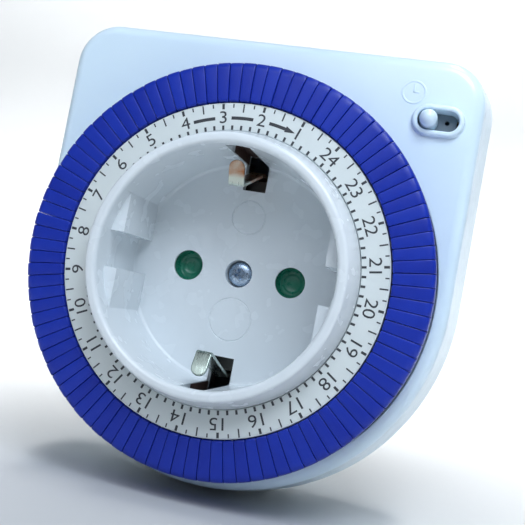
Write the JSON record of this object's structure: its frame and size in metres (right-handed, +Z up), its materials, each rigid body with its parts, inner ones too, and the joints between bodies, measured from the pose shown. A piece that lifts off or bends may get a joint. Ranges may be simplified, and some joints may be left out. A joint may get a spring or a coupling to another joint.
{
  "type": "plug-in timer switch",
  "caption": "Plug-in timer switch: white case with earthed mains socket in front, dial of blue push-in trippers round it, override slide switch and earthed plug at the back.",
  "frame": {"origin": "midpoint between the two plug pins, on the plug's end face that meets the wall socket's floor", "axes": "+X to the right as the user faces the dial, +Y along the plug pins into the wall, +Z up"},
  "size_m": [0.0782, 0.076, 0.0823],
  "materials": {
    "white_housing": "glossy moulded ABS",
    "white_dial": "satin moulded ABS with dark printed numbers",
    "blue_tripper": "glossy moulded blue plastic",
    "green_shutter": "moulded green plastic",
    "natural_nylon": "natural moulded nylon",
    "black_phenolic": "moulded thermoset",
    "contact_brass": "stamped strip",
    "nickel_plate": "nickel plated",
    "spring_steel": "drawn",
    "zinc_screw": "zinc plated",
    "copper_winding": "enamelled wire",
    "core_steel": "stamped laminations",
    "ferrite_rotor": "sintered",
    "lead_sleeve": "smooth"
  },
  "bodies": {
    "root": {"front_housing": "white_housing", "rear_housing": "white_housing", "socket_insert": "white_housing", "shutter_spring": "spring_steel", "contact_carrier": "black_phenolic", "centre_screw": "zinc_screw", "neutral_contact": "contact_brass", "line_contact": "contact_brass", "neutral_pin": "nickel_plate", "line_pin": "nickel_plate", "earth_clip_top": "nickel_plate", "earth_clip_bottom": "nickel_plate", "earth_bridge": "contact_brass", "plug_earth_strips": "nickel_plate", "follower_pin": "spring_steel", "follower_spring": "spring_steel", "line_feed_bar": "contact_brass", "line_load_bar": "contact_brass", "motor_coil": "copper_winding", "motor_bobbin": "natural_nylon", "motor_stator": "core_steel", "gear_axles": "spring_steel", "mechanism_plate": "spring_steel", "case_screws": "zinc_screw", "motor_leads": "lead_sleeve"},
    "dial": {"dial_ring": "white_dial", "dial_gear": "natural_nylon"},
    "trip_01": {"tripper_hour_01": "blue_tripper"},
    "trip_02": {"tripper_hour_02": "blue_tripper"},
    "trip_03": {"tripper_hour_03": "blue_tripper"},
    "trip_04": {"tripper_hour_04": "blue_tripper"},
    "trip_05": {"tripper_hour_05": "blue_tripper"},
    "trip_06": {"tripper_hour_06": "blue_tripper"},
    "trip_07": {"tripper_hour_07": "blue_tripper"},
    "trip_08": {"tripper_hour_08": "blue_tripper"},
    "trip_09": {"tripper_hour_09": "blue_tripper"},
    "trip_10": {"tripper_hour_10": "blue_tripper"},
    "trip_11": {"tripper_hour_11": "blue_tripper"},
    "trip_12": {"tripper_hour_12": "blue_tripper"},
    "trip_13": {"tripper_hour_13": "blue_tripper"},
    "trip_14": {"tripper_hour_14": "blue_tripper"},
    "trip_15": {"tripper_hour_15": "blue_tripper"},
    "trip_16": {"tripper_hour_16": "blue_tripper"},
    "trip_17": {"tripper_hour_17": "blue_tripper"},
    "trip_18": {"tripper_hour_18": "blue_tripper"},
    "trip_19": {"tripper_hour_19": "blue_tripper"},
    "trip_20": {"tripper_hour_20": "blue_tripper"},
    "trip_21": {"tripper_hour_21": "blue_tripper"},
    "trip_22": {"tripper_hour_22": "blue_tripper"},
    "trip_23": {"tripper_hour_23": "blue_tripper"},
    "trip_24": {"tripper_hour_24": "blue_tripper"},
    "shutter": {"shutter": "green_shutter"},
    "follower": {"follower_lever": "natural_nylon"},
    "blade": {"contact_blade": "contact_brass"},
    "override": {"override_slider": "white_housing", "override_bridge": "contact_brass"},
    "rotor": {"motor_rotor": "ferrite_rotor", "rotor_pinion": "spring_steel"},
    "second_wheel": {"second_gear": "natural_nylon"},
    "third_wheel": {"third_gear": "natural_nylon"}
  },
  "joints": [
    {"name": "dial_turn", "type": "hinge", "parent": "root", "child": "dial", "pos_m": [0, -0.045, 0], "axis": [0, 1, 0], "continuous": true},
    {"name": "trip_01_push", "type": "slide", "parent": "dial", "child": "trip_01", "axis": [0, 1, 0], "range_m": [0, 0.0024]},
    {"name": "trip_02_push", "type": "slide", "parent": "dial", "child": "trip_02", "axis": [0, 1, 0], "range_m": [0, 0.0024]},
    {"name": "trip_03_push", "type": "slide", "parent": "dial", "child": "trip_03", "axis": [0, 1, 0], "range_m": [0, 0.0024]},
    {"name": "trip_04_push", "type": "slide", "parent": "dial", "child": "trip_04", "axis": [0, 1, 0], "range_m": [0, 0.0024]},
    {"name": "trip_05_push", "type": "slide", "parent": "dial", "child": "trip_05", "axis": [0, 1, 0], "range_m": [0, 0.0024]},
    {"name": "trip_06_push", "type": "slide", "parent": "dial", "child": "trip_06", "axis": [0, 1, 0], "range_m": [0, 0.0024]},
    {"name": "trip_07_push", "type": "slide", "parent": "dial", "child": "trip_07", "axis": [0, 1, 0], "range_m": [0, 0.0024]},
    {"name": "trip_08_push", "type": "slide", "parent": "dial", "child": "trip_08", "axis": [0, 1, 0], "range_m": [0, 0.0024]},
    {"name": "trip_09_push", "type": "slide", "parent": "dial", "child": "trip_09", "axis": [0, 1, 0], "range_m": [0, 0.0024]},
    {"name": "trip_10_push", "type": "slide", "parent": "dial", "child": "trip_10", "axis": [0, 1, 0], "range_m": [0, 0.0024]},
    {"name": "trip_11_push", "type": "slide", "parent": "dial", "child": "trip_11", "axis": [0, 1, 0], "range_m": [0, 0.0024]},
    {"name": "trip_12_push", "type": "slide", "parent": "dial", "child": "trip_12", "axis": [0, 1, 0], "range_m": [0, 0.0024]},
    {"name": "trip_13_push", "type": "slide", "parent": "dial", "child": "trip_13", "axis": [0, 1, 0], "range_m": [0, 0.0024]},
    {"name": "trip_14_push", "type": "slide", "parent": "dial", "child": "trip_14", "axis": [0, 1, 0], "range_m": [0, 0.0024]},
    {"name": "trip_15_push", "type": "slide", "parent": "dial", "child": "trip_15", "axis": [0, 1, 0], "range_m": [0, 0.0024]},
    {"name": "trip_16_push", "type": "slide", "parent": "dial", "child": "trip_16", "axis": [0, 1, 0], "range_m": [0, 0.0024]},
    {"name": "trip_17_push", "type": "slide", "parent": "dial", "child": "trip_17", "axis": [0, 1, 0], "range_m": [0, 0.0024]},
    {"name": "trip_18_push", "type": "slide", "parent": "dial", "child": "trip_18", "axis": [0, 1, 0], "range_m": [0, 0.0024]},
    {"name": "trip_19_push", "type": "slide", "parent": "dial", "child": "trip_19", "axis": [0, 1, 0], "range_m": [0, 0.0024]},
    {"name": "trip_20_push", "type": "slide", "parent": "dial", "child": "trip_20", "axis": [0, 1, 0], "range_m": [0, 0.0024]},
    {"name": "trip_21_push", "type": "slide", "parent": "dial", "child": "trip_21", "axis": [0, 1, 0], "range_m": [0, 0.0024]},
    {"name": "trip_22_push", "type": "slide", "parent": "dial", "child": "trip_22", "axis": [0, 1, 0], "range_m": [0, 0.0024]},
    {"name": "trip_23_push", "type": "slide", "parent": "dial", "child": "trip_23", "axis": [0, 1, 0], "range_m": [0, 0.0024]},
    {"name": "trip_24_push", "type": "slide", "parent": "dial", "child": "trip_24", "axis": [0, 1, 0], "range_m": [0, 0.0024]},
    {"name": "shutter_turn", "type": "hinge", "parent": "root", "child": "shutter", "pos_m": [0, -0.0365, 0], "axis": [0, -1, 0], "range_deg": [0, 40], "stiffness_Nm_per_rad": 0.01, "springref_deg": -11.46, "deforming": ["shutter_spring"]},
    {"name": "follower_tilt", "type": "hinge", "parent": "root", "child": "follower", "pos_m": [0.02192, -0.0365, 0.03252], "axis": [1, 0, 0], "range_deg": [0, 12.5], "deforming": ["follower_spring"]},
    {"name": "blade_lift", "type": "hinge", "parent": "root", "child": "blade", "pos_m": [0.0279, -0.031, 0.03477], "axis": [0, 1, 0], "range_deg": [0, 10.8]},
    {"name": "override_slide", "type": "slide", "parent": "root", "child": "override", "axis": [1, 0, 0], "range_m": [0, 0.00335]},
    {"name": "third_wheel_turn", "type": "hinge", "parent": "root", "child": "third_wheel", "pos_m": [-0.02227, -0.037, 0.02227], "axis": [0, 1, 0], "continuous": true},
    {"name": "second_wheel_turn", "type": "hinge", "parent": "root", "child": "second_wheel", "pos_m": [-0.01418, -0.035, 0.03193], "axis": [0, 1, 0], "continuous": true},
    {"name": "rotor_turn", "type": "hinge", "parent": "root", "child": "rotor", "pos_m": [-0.00537, -0.027, 0.03005], "axis": [0, 1, 0], "continuous": true}
  ],
  "couplings": [
    {"joint": "third_wheel_turn", "follows": "dial_turn", "ratio": -6},
    {"joint": "second_wheel_turn", "follows": "dial_turn", "ratio": 15},
    {"joint": "rotor_turn", "follows": "dial_turn", "ratio": -30},
    {"joint": "follower_tilt", "follows": "trip_23_push", "rad_per_m": 88.721},
    {"joint": "blade_lift", "follows": "trip_23_push", "rad_per_m": 76.358}
  ]
}
